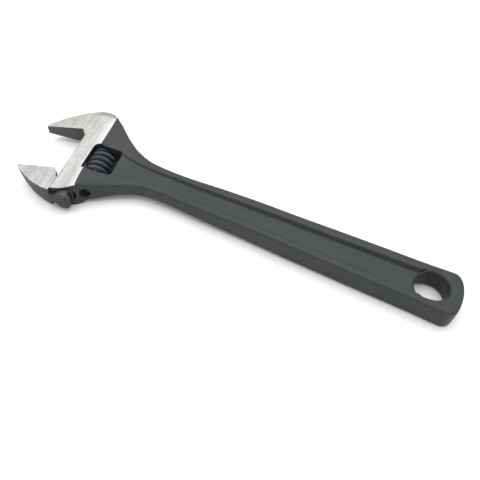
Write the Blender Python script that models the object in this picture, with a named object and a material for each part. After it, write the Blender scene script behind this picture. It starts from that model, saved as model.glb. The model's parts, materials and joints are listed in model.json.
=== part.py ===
"""Adjustable wrench with an open jaw: forged body, sliding jaw, adjusting worm, worm pin and spring.

Lengths below are in millimetres and MM turns them into metres. Two plan frames are used:
- the wrench frame: X from the jaws to the hanging hole, Y towards the fixed jaw, Z up;
- the head frame, turned by HEAD_ANGLE about Z: U runs from the jaw tips into the head, V runs
  across the throat from the sliding jaw to the fixed jaw.
Both start where the throat line crosses the handle's centre line, at half thickness. At the end
everything is shifted so that the origin is the centre of the bounding box's underside.
"""

import math

import bmesh
import bpy
import numpy as np
from mathutils import Vector
from mathutils.geometry import delaunay_2d_cdt

MM = 0.001
GAP = 0.35                     # running gap between neighbouring pieces
HEAD_ANGLE = math.radians(15)

# Fineness of the mesh
FINE_SPACING = 4.0             # outline points on curves
COARSE_SPACING = 14.0          # outline points on nearly straight edges
FACE_GRID = 9.0                # points inside the faces
ROUNDING_STEPS = 2
GUIDE_MARGIN = 0.8             # guide lines stop this far short of an edge

# Head and jaws, head frame
JAW_REACH = 42.0               # tip to throat line
FIXED_FACE_V = 23.3
JAW_OPENING = 54.0
SLIDING_FACE_V = FIXED_FACE_V - JAW_OPENING
THROAT_U = -0.5
RELIEF_U = -6.5                # the corner by the fixed jaw is cut off from here
RELIEF_V = 14.5                # to here
RIDGE_U = 19.3                 # where the ground faces meet the forged surface
HEAD_HALF = 11.05              # half thickness at the ridge
GROUND_SLOPE = 0.114           # each ground face falls by this much towards the jaw tips

# Stem of the sliding jaw and its channel
STEM_U = 10.2
STEM_RADIUS = 7.6
STEM_OUTER_V = -65.0           # before the stem and web are trimmed
TRIM_V = -58.6                 # where the trim starts at the shoulder
TRIM_SLOPE = -0.1              # and how it leans, carrying on the line of the jaw's back
STEM_INNER_V = -17.0
WEB_HALF = 3.8
WEB_TOP_V = -35.5
CHANNEL_END_V = 38.0
SLOT_END_V = 20.5
CUTTER_OUTER_V = -70.0         # where the channel's cutters start, outside the head

# Adjusting worm, its pin and spring
WORM_U = 24.0
WORM_RADIUS = 10.8
WORM_ROOT_RADIUS = 7.0
WORM_LEAD = 6.0
THREAD_CREST = 2.6
THREAD_FLANK = 0.7
WORM_START_V = -26.8
WORM_END_V = -1.0
PIN_RADIUS = 3.0
PIN_HEAD_RADIUS = 4.0
PIN_HEAD_OUTER_V = -42.5
PIN_HEAD_INNER_V = -28.6
PIN_END_V = 10.5
PIN_SLOT_WIDTH = 1.3
PIN_SLOT_DEPTH = 1.6
SPRING_POCKET_RADIUS = 5.4
SPRING_POCKET_DEPTH = 8.0
SPRING_RADIUS = 4.2
SPRING_WIRE = 1.0
SPRING_TURNS = 5

# Handle, wrench frame
HANDLE_END_X = 331.0
HOLE_X = 309.3
HOLE_RADIUS = 11.7
HOLE_ROUNDING = 2.5
NECK_ROUNDING = 2.4            # rounding of the forged edges on the neck
HANDLE_ROUNDING = 2.2          # and along the handle
# Recess along the handle: width of its sloping sides, depth and where each side starts, by X
RECESS_WALL = [(36, 1.3), (60, 1.8), (95, 2.4), (140, 2.9), (300, 3.0)]
RECESS_DEPTH = [(34, 0.8), (42, 1.2), (50, 1.5), (70, 2.0), (95, 2.4), (140, 3.0), (200, 3.5), (300, 3.6)]
RECESS_FAR = [(36, 12.0), (49, 9.8), (64, 8.4), (79, 8.2), (95, 8.6), (140, 8.9), (200, 9.5),
              (300, 10.7)]
RECESS_NEAR = [(41, -15.7), (49, -13.0), (58, -10.9), (68.6, -9.1), (79, -8.1), (95, -7.6),
               (140, -8.9), (200, -10.9), (300, -12.5)]
# Edges of the handle, by X
HANDLE_FAR = [(80, 14.6), (95, 14.4), (112, 15.0), (136, 16.0), (168, 16.5), (200, 16.5),
              (240, 17.5), (270, 18.0), (300, 18.4), (318, 19.2)]
HANDLE_NEAR = [(80, -14.4), (95, -13.9), (112, -14.3), (136, -14.9), (168, -15.4), (200, -16.4),
               (240, -17.4), (270, -18.2), (300, -18.8), (318, -19.6)]
# Half thickness from the ridge to the waist, by U, and what the handle adds to it, by X
NECK_THICKNESS = [(9.3, 14.0), (RIDGE_U, HEAD_HALF), (25.3, 9.3), (29.4, 8.35), (33.5, 7.6),
                  (39, 6.7), (45, 6.2), (51, 5.85), (59, 5.75), (67, 5.8), (90, 5.8)]
HANDLE_SWELL = [(90, 0.0), (111, 0.15), (130, 0.75), (156, 1.6), (182, 2.3), (207, 2.55), (254, 2.7),
                (290, 2.8), (300, 2.8), (340, 2.8)]
# The forged surface lies lower near the window, which bends the ridge: drop by V, and the slope
# between the ground and forged faces at the ridge
RIDGE_DROP = [(-50, 0.33), (-27.4, 0.94), (-10, 0.3), (4.6, 0.0), (45, 0.0)]
RIDGE_CLOSING = 0.41

# Plan outlines, head frame
FIXED_JAW_BACK = [(20, 42.6), (16, 46.4), (12, 48.7), (5, 50.4), (0, 50.2), (-10, 47.3), (-20, 42.5),
                  (-30, 36.3), (-38, 29.5), (-41.8, 25.4), (-42, FIXED_FACE_V)]
HEAD_NEAR = [(THROAT_U, -55.0), (8, -54.5), (14, -52.3), (19, -49.3), (22, -47.6), (25.3, -46.0),
             (31.5, -43.9)]
SLIDING_JAW_BACK = [(-42, SLIDING_FACE_V), (-41.6, -32.0), (-37, -36.4), (-30, -42.3), (-20, -49.4),
                    (-10, -54.25), (-5, -56.1), (THROAT_U - GAP, -57.3)]
# Worm window, head frame: U, V and corner radius, clockwise
WINDOW_CORNERS = [(14.2, 4.7, 4.5), (38.9, 2.9, 1.5), (38.9, -27.4, 1.5), (14.2, -27.4, 1.2)]

# Plan outlines, wrench frame
NECK_NEAR = [(44.2, -32.4), (52.2, -26.5), (60.6, -21.3), (69.5, -16.9), (76.2, -15.0)]
NECK_FAR = [(71, 15.3), (64, 16.3), (55.8, 18.8), (45.5, 23.1), (34, 29.9), (28.2, 33.7),
            (21.6, 38.5), (14.7, 43.6)]
HANDLE_END = [(323.8, -19.4), (327.1, -17.4), (329.4, -13.7), (330.6, -7.5), (HANDLE_END_X, 0),
              (330.3, 7.5), (328.5, 13.4), (326.0, 17.1), (322.9, 19.1)]


def to_wrench(u, v):
    """Head frame to wrench frame."""
    c, s = math.cos(HEAD_ANGLE), math.sin(HEAD_ANGLE)
    return u * c - v * s, u * s + v * c


def to_head(x, y):
    """Wrench frame to head frame."""
    c, s = math.cos(HEAD_ANGLE), math.sin(HEAD_ANGLE)
    return x * c + y * s, y * c - x * s


def ease(t):
    t = np.clip(t, 0.0, 1.0)
    return t * t * (3 - 2 * t)


def along(table, x):
    """A smooth value between the entries of a short table of (position, value)."""
    keys = np.array([entry[0] for entry in table], float)
    values = np.array([entry[1] for entry in table], float)
    slopes = np.gradient(values, keys)
    x = np.clip(x, keys[0], keys[-1])
    i = np.clip(np.searchsorted(keys, x, side="right") - 1, 0, len(keys) - 2)
    width = keys[i + 1] - keys[i]
    t = (x - keys[i]) / width
    return (values[i] * (1 + 2 * t) * (1 - t) ** 2 + values[i + 1] * t * t * (3 - 2 * t)
            + width * (slopes[i] * t * (1 - t) ** 2 - slopes[i + 1] * t * t * (1 - t)))


def smooth_run(points, spacing):
    """Points along a Catmull-Rom curve through the given ones, its first end included."""
    p = np.array(points, float)
    p = np.vstack([2 * p[0] - p[1], p, 2 * p[-1] - p[-2]])
    run = []
    for a, b, c, d in zip(p, p[1:], p[2:], p[3:]):
        steps = max(1, round(np.linalg.norm(c - b) / spacing))
        for t in np.arange(steps) / steps:
            run.append(0.5 * (2 * b + (c - a) * t + (2 * a - 5 * b + 4 * c - d) * t ** 2
                              + (3 * b - a - 3 * c + d) * t ** 3))
    return run


def straight_run(start, end, spacing):
    start, end = np.array(start, float), np.array(end, float)
    steps = max(1, round(np.linalg.norm(end - start) / spacing))
    return [start + (end - start) * k / steps for k in range(steps)]


def rounded_polygon(corners, spacing, arc_steps):
    """A closed polygon whose corners, given as (x, y, radius), are rounded."""
    points = []
    count = len(corners)
    for i in range(count):
        before, here, after = (np.array(corners[(i + k) % count][:2], float) for k in (-1, 0, 1))
        radius = corners[i][2]
        to_before = (before - here) / np.linalg.norm(before - here)
        to_after = (after - here) / np.linalg.norm(after - here)
        half = 0.5 * math.acos(np.clip(to_before @ to_after, -1, 1))
        bisector = (to_before + to_after) / np.linalg.norm(to_before + to_after)
        centre = here + bisector * radius / math.sin(half)
        first = here + to_before * radius / math.tan(half) - centre
        last = here + to_after * radius / math.tan(half) - centre
        turn = math.atan2(first[0] * last[1] - first[1] * last[0], first @ last)
        for k in range(arc_steps + 1):
            a = turn * k / arc_steps
            points.append(centre + (first[0] * math.cos(a) - first[1] * math.sin(a),
                                    first[0] * math.sin(a) + first[1] * math.cos(a)))
    closed = []
    for a, b in zip(points, points[1:] + points[:1]):
        closed += straight_run(a, b, spacing)
    return closed


def circle(x, y, radius, segments):
    return [np.array((x + radius * math.cos(a), y + radius * math.sin(a)))
            for a in np.linspace(0, 2 * math.pi, segments, endpoint=False)]


def body_outline():
    """Counter-clockwise outline of the body, in the wrench frame."""
    relief = [(RELIEF_U, FIXED_FACE_V), (THROAT_U, RELIEF_V)]
    corners = [(-JAW_REACH, FIXED_FACE_V)] + relief + [HEAD_NEAR[0]]
    far_edge = HANDLE_FAR[::-1]
    points = []
    for a, b in zip(corners, corners[1:]):
        points += [np.array(to_wrench(*p)) for p in straight_run(a, b, COARSE_SPACING)]
    points += smooth_run([to_wrench(*p) for p in HEAD_NEAR] + NECK_NEAR + HANDLE_NEAR[:1], FINE_SPACING)
    points += smooth_run(HANDLE_NEAR, COARSE_SPACING)
    points += smooth_run(HANDLE_NEAR[-1:] + HANDLE_END + far_edge[:1], FINE_SPACING)
    points += smooth_run(far_edge, COARSE_SPACING)
    fixed_jaw = [to_wrench(*p) for p in FIXED_JAW_BACK]
    points += smooth_run(far_edge[-1:] + NECK_FAR + fixed_jaw, FINE_SPACING)
    return points


def edge_radius(x, y):
    """Rounding of the forged edge: none on the ground head, full on the neck, small on the handle."""
    slimmed = (NECK_ROUNDING - HANDLE_ROUNDING) * ease((x - 85) / 70)
    return (NECK_ROUNDING - slimmed) * ease((to_head(x, y)[0] - RIDGE_U + 0.3) / 5)


def no_radius(x, y):
    return 0 * x


def hole_radius(x, y):
    return HOLE_ROUNDING + 0 * x


def recess(x, y):
    """Depth of the pocket that runs along both faces of the handle."""
    wall = along(RECESS_WALL, x)
    far_wall = ease((along(RECESS_FAR, x) - y) / wall)
    near_wall = ease((y - along(RECESS_NEAR, x)) / wall)
    ends = ease((to_head(x, y)[0] - RIDGE_U) / 3) * ease((HOLE_X + 4 - x) / 10)
    return along(RECESS_DEPTH, x) * far_wall * near_wall * ends


def ridge_u(v):
    """Where the ground and forged faces meet."""
    return RIDGE_U - along(RIDGE_DROP, v) / RIDGE_CLOSING


def forged_half(x, y):
    u, v = to_head(x, y)
    drop = along(RIDGE_DROP, v) * ease((36 - u) / 14)
    return along(NECK_THICKNESS, u) - drop + along(HANDLE_SWELL, x) - recess(x, y)


def ground_half(x, y):
    """Height of the ground faces, which only bind on the jaw side of the ridge."""
    return HEAD_HALF - GROUND_SLOPE * (RIDGE_U - to_head(x, y)[0])


def inward_normals(loop):
    """Unit normals to the left of travel, lengthened at corners so that offsets stay parallel."""
    ahead = np.roll(loop, -1, axis=0) - loop
    ahead /= np.linalg.norm(ahead, axis=1)[:, None]
    behind = np.roll(ahead, 1, axis=0)
    left = np.stack([-(ahead + behind)[:, 1], (ahead + behind)[:, 0]], 1)
    left /= np.linalg.norm(left, axis=1)[:, None]
    across = np.stack([-ahead[:, 1], ahead[:, 0]], 1)
    return left / np.maximum((left * across).sum(1), 0.5)[:, None]


def inside(points, loops):
    """Even-odd test of points against closed loops."""
    odd = np.zeros(len(points), bool)
    for loop in loops:
        for (x0, y0), (x1, y1) in zip(loop, np.roll(loop, -1, axis=0)):
            spans = (y0 > points[:, 1]) != (y1 > points[:, 1])
            if spans.any():
                crossing = x0 + (points[:, 1] - y0) * (x1 - x0) / ((y1 - y0) or 1e-12)
                odd ^= spans & (points[:, 0] < crossing)
    return odd


def plate(loops, forged, ground, guides=(), grid=FACE_GRID, steps=ROUNDING_STEPS):
    """Vertices and faces of a plate that is symmetric about Z = 0.

    loops are (points, radius) pairs that run with the material on their left. Each edge rises
    vertically, rounds over by its radius and ends where the lower of the forged and ground heights
    is met. guides are open lines that the faces' edges follow, and grid is the spacing of the free
    points.
    """
    vertices, rims, walls = [], [], []
    for points, radius in loops:
        loop = np.array(points, float)
        normals = inward_normals(loop)
        x, y = loop[:, 0], loop[:, 1]
        r, top, cut = radius(x, y) + 0 * x, forged(x, y), ground(x, y)
        limit = np.where(r > 0, np.clip((cut - top + r) / np.maximum(r, 1e-6), 0, 1), 1.0)
        last = np.arcsin(limit)
        rings = []
        for k in range(steps + 1):
            angle = last * k / steps
            q = loop + normals * (r * (1 - np.cos(angle)))[:, None]
            z = np.minimum(top - r + r * np.sin(angle), ground(q[:, 0], q[:, 1]))
            if k == steps:
                z = np.minimum(forged(q[:, 0], q[:, 1]), ground(q[:, 0], q[:, 1]))
            rings.append(range(len(vertices), len(vertices) + len(loop)))
            vertices += [(a, b, c) for (a, b), c in zip(q, z)]
        rims.append(rings[-1])
        walls.append(rings)

    flat = [np.array([vertices[i][:2] for i in rim]) for rim in rims]
    constraints = [(rim[k], rim[(k + 1) % len(rim)]) for rim in rims for k in range(len(rim))]
    fixed = np.vstack(flat)
    fill = []
    for guide in guides:
        guide = np.array(guide, float)
        kept = inside(guide, flat) & (distance_to(guide, fixed) > GUIDE_MARGIN)
        for k, point in enumerate(guide):
            if kept[k]:
                if k and kept[k - 1]:
                    constraints.append((len(vertices) + len(fill) - 1, len(vertices) + len(fill)))
                fill.append(point)
    low, high = fixed.min(0), fixed.max(0)
    rows = np.arange(low[1] + grid / 2, high[1], grid * 0.87)
    free = np.array([(x + (k % 2) * grid / 2, y) for k, y in enumerate(rows)
                     for x in np.arange(low[0] + grid / 2, high[0], grid)])
    taken = np.vstack([fixed] + ([np.array(fill)] if fill else []))
    fill += list(free[inside(free, flat) & (distance_to(free, taken) > 0.6 * grid)])
    fill = np.array(fill)
    z = np.minimum(forged(fill[:, 0], fill[:, 1]), ground(fill[:, 0], fill[:, 1]))
    vertices += [(a, b, c) for (a, b), c in zip(fill, z)]

    used = [i for rim in rims for i in rim]
    used += range(len(vertices) - len(fill), len(vertices))
    place = {i: k for k, i in enumerate(used)}
    found = delaunay_2d_cdt([Vector(vertices[i][:2]) for i in used],
                            [(place[a], place[b]) for a, b in constraints], [], 0, 1e-6)
    corners = np.array([found[0][i] for face in found[2] for i in face]).reshape(-1, 3, 2)
    keep = inside(corners.mean(1), flat)
    top = [[used[found[3][i][0]] for i in face] for face, kept in zip(found[2], keep) if kept]

    count = len(vertices)
    faces = top + [[i + count for i in reversed(face)] for face in top]
    for rings in walls:
        size = len(rings[0])
        for k in range(size):
            n = (k + 1) % size
            for lower, upper in zip(rings, rings[1:]):
                quad = [lower[k], lower[n], upper[n], upper[k]]
                faces += [quad, [i + count for i in reversed(quad)]]
            faces.append([rings[0][k] + count, rings[0][n] + count, rings[0][n], rings[0][k]])
    return vertices + [(x, y, -z) for x, y, z in vertices], faces


def distance_to(points, others):
    """Distance from each point to the nearest of the others."""
    return np.array([np.sqrt(((others - p) ** 2).sum(1).min()) for p in points])


def thread_radius(v, turn, widen=0.0):
    """Radius of the worm's thread at height v and angle turn, in whole turns."""
    phase = np.abs((v - WORM_LEAD * turn + WORM_LEAD / 2) % WORM_LEAD - WORM_LEAD / 2)
    rise = (THREAD_CREST / 2 + THREAD_FLANK + widen - phase) / THREAD_FLANK
    return WORM_ROOT_RADIUS + (WORM_RADIUS - WORM_ROOT_RADIUS) * np.clip(rise, 0, 1)


def screw(start, end, columns, bore, widen=0.0, grow=0.0):
    """Vertices and faces of a right-hand worm along local Y.

    bore lists (radius, y) down the inside from the far end; with none the ends are closed.
    widen thickens the thread along the axis and grow moves its whole surface outwards.
    """
    half_crest = THREAD_CREST / 2 + widen
    stops = (-half_crest - THREAD_FLANK, -half_crest, half_crest, half_crest + THREAD_FLANK)
    first = math.floor(start / WORM_LEAD) - 2
    last = math.ceil(end / WORM_LEAD) + 2
    levels = [n * WORM_LEAD + stop for n in range(first, last) for stop in stops]
    vertices, faces = [], []

    def ring_of(radii, heights):
        begin = len(vertices)
        for i in range(columns):
            angle = 2 * math.pi * i / columns
            vertices.append((radii[i] * math.sin(angle), heights[i], radii[i] * math.cos(angle)))
        return list(range(begin, begin + columns))

    turns = np.arange(columns) / columns
    outer = []
    for level in levels:
        heights = np.clip(level + WORM_LEAD * turns, start, end)
        outer.append(ring_of(thread_radius(heights, turns, widen) + grow, heights))
    top = len(levels) - 1
    for k in range(top):
        for i in range(columns - 1):
            faces.append([outer[k][i], outer[k][i + 1], outer[k + 1][i + 1], outer[k + 1][i]])
        # After a whole turn each level meets the one a lead further on.
        a, b = min(k + len(stops), top), min(k + 1 + len(stops), top)
        faces.append([outer[k][-1], outer[a][0], outer[b][0], outer[k + 1][-1]])
    low, high = outer[0], outer[-1]
    if bore:
        inner = [ring_of([r] * columns, [y] * columns) for r, y in bore]
        chain = [high] + inner + [low]
        for a, b in zip(chain, chain[1:]):
            faces += [[a[i], a[(i + 1) % columns], b[(i + 1) % columns], b[i]] for i in range(columns)]
    else:
        for rim, y, flip in ((high, end, False), (low, start, True)):
            centre = len(vertices)
            vertices.append((0, y, 0))
            for i in range(columns):
                face = [rim[i], rim[(i + 1) % columns], centre]
                faces.append(face[::-1] if flip else face)
    return vertices, faces


def turned(profile, segments):
    """Vertices and faces of a closed body turned about local Y from (radius, y) points."""
    vertices, faces = [], []
    for radius, y in profile:
        for k in range(segments):
            angle = 2 * math.pi * k / segments
            vertices.append((radius * math.sin(angle), y, radius * math.cos(angle)))
    for row in range(len(profile) - 1):
        for k in range(segments):
            a, b = row * segments + k, row * segments + (k + 1) % segments
            faces.append([a, b, b + segments, a + segments])
    faces.append(list(range(segments))[::-1])
    faces.append(list(range((len(profile) - 1) * segments, len(profile) * segments)))
    return vertices, faces


def new_object(name, vertices, faces, parent, smooth_angle=30):
    """An object made of one closed shell, with its vertices given in millimetres."""
    mesh = bpy.data.meshes.new(name)
    mesh.from_pydata([tuple(c * MM for c in v) for v in vertices], [], faces)
    shell = bmesh.new()
    shell.from_mesh(mesh)
    bmesh.ops.remove_doubles(shell, verts=shell.verts, dist=0.002 * MM)
    bmesh.ops.delete(shell, geom=[v for v in shell.verts if not v.link_faces], context="VERTS")
    bmesh.ops.recalc_face_normals(shell, faces=shell.faces)
    shell.to_mesh(mesh)
    shell.free()
    mesh.shade_smooth()
    mesh.set_sharp_from_angle(angle=math.radians(smooth_angle))
    made = bpy.data.objects.new(name, mesh)
    bpy.context.scene.collection.objects.link(made)
    made.parent = parent
    return made


def new_empty(name, parent=None, location=(0, 0, 0), turn=0.0):
    empty = bpy.data.objects.new(name, None)
    empty.empty_display_size = 0.02
    bpy.context.scene.collection.objects.link(empty)
    empty.parent = parent
    empty.location = [c * MM for c in location]
    empty.rotation_euler.z = turn
    return empty


def block(name, low, high, parent):
    vertices = [(x, y, z) for x in (low[0], high[0]) for y in (low[1], high[1])
                for z in (low[2], high[2])]
    faces = [(0, 1, 3, 2), (4, 6, 7, 5), (0, 4, 5, 1), (2, 3, 7, 6), (0, 2, 6, 4), (1, 5, 7, 3)]
    return new_object(name, vertices, faces, parent)


def rod(name, radius, start, end, parent, u=0.0, segments=40):
    """A round bar along V, centred on (u, 0)."""
    made = new_object(name, *turned([(radius, start), (radius, end)], segments), parent)
    made.location.x = u * MM
    return made


def boolean(target, tool, operation):
    tool.hide_render = True
    tool.display_type = "WIRE"
    modifier = target.modifiers.new(tool.name, "BOOLEAN")
    modifier.operation = operation
    modifier.solver = "EXACT"
    modifier.object = tool


def finish(target, name, colour, metallic, roughness):
    material = bpy.data.materials.new(name)
    material.use_nodes = True
    shader = material.node_tree.nodes["Principled BSDF"]
    shader.inputs["Base Color"].default_value = (*colour, 1)
    shader.inputs["Metallic"].default_value = metallic
    shader.inputs["Roughness"].default_value = roughness
    target.data.materials.append(material)


def make_body(root, head):
    window = [np.array(to_wrench(*p)) for p in rounded_polygon(WINDOW_CORNERS, 6, 2)]
    hole = circle(HOLE_X, 0, HOLE_RADIUS, 28)[::-1]
    loops = [(body_outline(), edge_radius), (window, no_radius), (hole, hole_radius)]
    guides = [[to_wrench(ridge_u(v), v) for v in np.arange(-47, 42, 5.0)]]
    for table, inward in ((RECESS_FAR, -1), (RECESS_NEAR, 1)):
        xs = np.concatenate([np.arange(table[0][0], 100, 5.0), np.arange(100, 306, 10.0)])
        for part in (0.15, 0.5, 0.85):
            guides.append([(x, along(table, x) + inward * part * along(RECESS_WALL, x)) for x in xs])
    body = new_object("wrench_body", *plate(loops, forged_half, ground_half, guides), root)
    outer, slot_half = CUTTER_OUTER_V, WEB_HALF + GAP
    cutters = [
        rod("channel_cutter", STEM_RADIUS + GAP, outer, CHANNEL_END_V, head, STEM_U, 44),
        block("slot_cutter", (-3, outer, -slot_half), (STEM_U, SLOT_END_V, slot_half), head),
        rod("pin_head_cutter", PIN_HEAD_RADIUS + GAP, outer, WORM_START_V + 2, head, WORM_U, 28),
        rod("pin_shank_cutter", PIN_RADIUS + GAP, WORM_END_V - 5, PIN_END_V + 1, head, WORM_U, 24),
    ]
    for cutter in cutters:
        boolean(body, cutter, "DIFFERENCE")
    finish(body, "black_phosphate", (0.09, 0.1, 0.09), 0.6, 0.5)
    return body


def oblique_end(start):
    """A prism beyond the jaw's back, from U = start, that trims the ends of the web and stem."""
    outer = STEM_OUTER_V - 5
    plan = [(start, TRIM_V), (start, outer), (25, outer), (25, TRIM_V + TRIM_SLOPE * (25 - start))]
    vertices = [(u, v, z) for z in (-12, 12) for u, v in plan]
    sides = [[k, (k + 1) % 4, (k + 1) % 4 + 4, k + 4] for k in range(4)]
    return vertices, sides + [[3, 2, 1, 0], [4, 5, 6, 7]]


def make_sliding_jaw(head):
    shoulder = THROAT_U - GAP
    front = [(shoulder, -42.5), (-4.5, -34.2), (-8.0, SLIDING_FACE_V)]
    outline = straight_run((shoulder, SLIDING_JAW_BACK[-1][1]), front[0], 6)
    for a, b in zip(front, front[1:] + [SLIDING_JAW_BACK[0]]):
        outline += straight_run(a, b, 12)
    outline += smooth_run(SLIDING_JAW_BACK, 4)

    def wedge(u, v):
        return HEAD_HALF - GROUND_SLOPE * (RIDGE_U - u) + 0 * v

    jaw = new_object("sliding_jaw", *plate([(outline, no_radius)], wedge, wedge, steps=1), head)
    end = STEM_OUTER_V
    stem = new_object("stem_tool", *turned([(STEM_RADIUS, end), (STEM_RADIUS, STEM_INNER_V - 1),
                                            (STEM_RADIUS - 1, STEM_INNER_V)], 44), head)
    stem.location.x = STEM_U * MM
    web = block("web_tool", (shoulder - 0.25, end, -WEB_HALF), (STEM_U - 1, WEB_TOP_V, WEB_HALF), head)
    end_cutter = new_object("end_cutter", *oblique_end(shoulder - 0.35), head)
    rack = new_object("rack_cutter", *screw(end - 3, STEM_INNER_V + 3, 48, [], GAP, GAP), head)
    rack.location.x = WORM_U * MM
    boolean(jaw, web, "UNION")
    boolean(jaw, stem, "UNION")
    boolean(jaw, end_cutter, "DIFFERENCE")
    boolean(jaw, rack, "DIFFERENCE")
    finish(jaw, "ground_steel", (0.62, 0.61, 0.58), 1.0, 0.35)
    return jaw


def make_worm(axis):
    pocket_floor = WORM_END_V - SPRING_POCKET_DEPTH
    bore = [(SPRING_POCKET_RADIUS, WORM_END_V), (SPRING_POCKET_RADIUS, pocket_floor),
            (PIN_RADIUS + GAP, pocket_floor), (PIN_RADIUS + GAP, WORM_START_V)]
    worm = new_object("adjusting_worm", *screw(WORM_START_V, WORM_END_V, 40, bore), axis)
    finish(worm, "worm_black", (0.03, 0.035, 0.045), 0.7, 0.4)
    return worm


def make_pin(axis):
    profile = [(PIN_HEAD_RADIUS - 0.5, PIN_HEAD_OUTER_V), (PIN_HEAD_RADIUS, PIN_HEAD_OUTER_V + 0.5),
               (PIN_HEAD_RADIUS, PIN_HEAD_INNER_V), (PIN_RADIUS, PIN_HEAD_INNER_V),
               (PIN_RADIUS, PIN_END_V - 0.5), (PIN_RADIUS - 0.5, PIN_END_V)]
    pin = new_object("worm_pin", *turned(profile, 28), axis)
    half = PIN_SLOT_WIDTH / 2
    slot = block("pin_slot_cutter", (-8, PIN_HEAD_OUTER_V - 3, -half),
                 (8, PIN_HEAD_OUTER_V + PIN_SLOT_DEPTH, half), axis)
    boolean(pin, slot, "DIFFERENCE")
    finish(pin, "pin_black", (0.05, 0.05, 0.055), 0.8, 0.35)
    return pin


def make_spring(axis):
    """Compression spring in the worm's pocket, round the pin, pushing the worm off the far wall."""
    start = WORM_END_V - SPRING_POCKET_DEPTH + SPRING_WIRE / 2 + GAP
    end = WORM_END_V + GAP + 0.1
    per_turn, sides = 14, 6
    vertices, faces = [], []
    count = SPRING_TURNS * per_turn + 1
    for k in range(count):
        angle = 2 * math.pi * k / per_turn
        outward = np.array((math.sin(angle), 0, math.cos(angle)))
        middle = outward * SPRING_RADIUS + (0, start + (end - start) * k / (count - 1), 0)
        for j in range(sides):
            around = 2 * math.pi * j / sides
            vertices.append(tuple(middle + SPRING_WIRE / 2 * (outward * math.cos(around)
                                                              + np.array((0, math.sin(around), 0)))))
    for k in range(count - 1):
        for j in range(sides):
            a, b = k * sides + j, k * sides + (j + 1) % sides
            faces.append([a, b, b + sides, a + sides])
    faces.append(list(range(sides)))
    faces.append(list(range((count - 1) * sides, count * sides))[::-1])
    spring = new_object("worm_spring", vertices, faces, axis, 60)
    finish(spring, "spring_steel", (0.45, 0.45, 0.45), 1.0, 0.3)
    return spring


def main():
    for old in list(bpy.data.objects):
        bpy.data.objects.remove(old)
    root = new_empty("wrench")
    head = new_empty("head_frame", root, turn=HEAD_ANGLE)
    worm_axis = new_empty("worm_axis", head, (WORM_U, 0, 0))
    pieces = [make_body(root, head), make_sliding_jaw(head), make_worm(worm_axis), make_pin(worm_axis),
              make_spring(worm_axis)]
    bpy.context.view_layer.update()
    graph = bpy.context.evaluated_depsgraph_get()
    points = np.array([piece.matrix_world @ vertex.co for piece in pieces
                       for vertex in piece.evaluated_get(graph).data.vertices])
    low, high = points.min(0), points.max(0)
    root.location = (-(low[0] + high[0]) / 2, -(low[1] + high[1]) / 2, -low[2])
    print("origin shift, m:", [round(c, 7) for c in root.location])


main()
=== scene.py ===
"""The looks of the adjustable wrench: fine meshes for its five pieces, materials and the stage.

Shapes are written in millimetres in the same two plan frames as the CAD: the wrench frame (X from
the jaws to the hanging hole, Y towards the fixed jaw) and the head frame (U into the head, V
towards the fixed jaw). HEAD_FRAME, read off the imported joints, turns head-frame points into world
points, and every mesh is stored in world coordinates.
"""

import json
import math

import bmesh
import bpy
import numpy as np
from mathutils import Matrix, Vector
from mathutils.geometry import delaunay_2d_cdt

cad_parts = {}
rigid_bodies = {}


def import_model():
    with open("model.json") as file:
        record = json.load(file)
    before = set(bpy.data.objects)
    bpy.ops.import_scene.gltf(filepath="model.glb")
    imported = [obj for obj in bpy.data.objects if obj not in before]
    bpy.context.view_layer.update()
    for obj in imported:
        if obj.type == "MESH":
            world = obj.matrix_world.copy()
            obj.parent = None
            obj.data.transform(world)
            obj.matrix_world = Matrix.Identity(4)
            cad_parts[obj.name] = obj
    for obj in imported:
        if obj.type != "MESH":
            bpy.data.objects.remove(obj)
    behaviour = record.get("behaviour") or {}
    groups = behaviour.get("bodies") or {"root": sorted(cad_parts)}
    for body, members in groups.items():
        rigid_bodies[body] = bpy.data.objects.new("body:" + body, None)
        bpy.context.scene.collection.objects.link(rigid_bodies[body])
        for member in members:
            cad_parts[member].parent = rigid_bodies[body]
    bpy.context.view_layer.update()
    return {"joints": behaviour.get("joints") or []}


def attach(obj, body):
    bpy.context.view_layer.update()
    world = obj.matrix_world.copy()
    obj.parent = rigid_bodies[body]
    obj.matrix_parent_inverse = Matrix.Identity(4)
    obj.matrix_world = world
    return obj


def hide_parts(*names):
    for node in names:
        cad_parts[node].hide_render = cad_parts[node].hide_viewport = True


for old in list(bpy.data.objects):
    bpy.data.objects.remove(old)
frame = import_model()

MM = 0.001
GAP = 0.35                     # running gap between neighbouring pieces

# Fineness of the meshes
FINE_SPACING = 1.3             # outline points on curves
COARSE_SPACING = 3.0           # outline points on nearly straight edges
WINDOW_SPACING = 1.5           # outline points along the worm window
FACE_GRID = 2.4                # points inside the faces
FACE_ROW = 0.87                # rows of those points, as a share of the grid
FACE_CLEARANCE = 0.6           # the least distance to another point, as a share of the grid
SLIVER_AREA = 1e-5             # triangles no bigger than this lie along a straight rim
ROUNDING_STEPS = 6             # also in the window's corners
GUIDE_MARGIN = 0.25            # guide lines stop this far short of an edge
RIDGE_GUIDE = (-49.5, 41.5, 1.2)     # V of the guide along the ridge: start, end and spacing
WALL_GUIDE_SPACING = 1.8
WALL_GUIDES = (0, 0.14, 0.28, 0.42, 0.58, 0.72, 0.86, 1)     # shares of the recess's sloping side
MERGE_DISTANCE = 0.002
FINE_ROUND = 96                # segments of the stem, its channel and the hanging hole
PIN_ROUND = 64                 # and of the pin's head and its hole
PIN_HOLE_ROUND = 48
WORM_COLUMNS = 192
WIRE_SIDES = 12
WIRE_STEPS = 32                # per turn of the spring
SHARP_ANGLE = 32               # degrees above which an edge stays sharp
ROUND_SHARP_ANGLE = 50         # and on the worm and the spring

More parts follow.
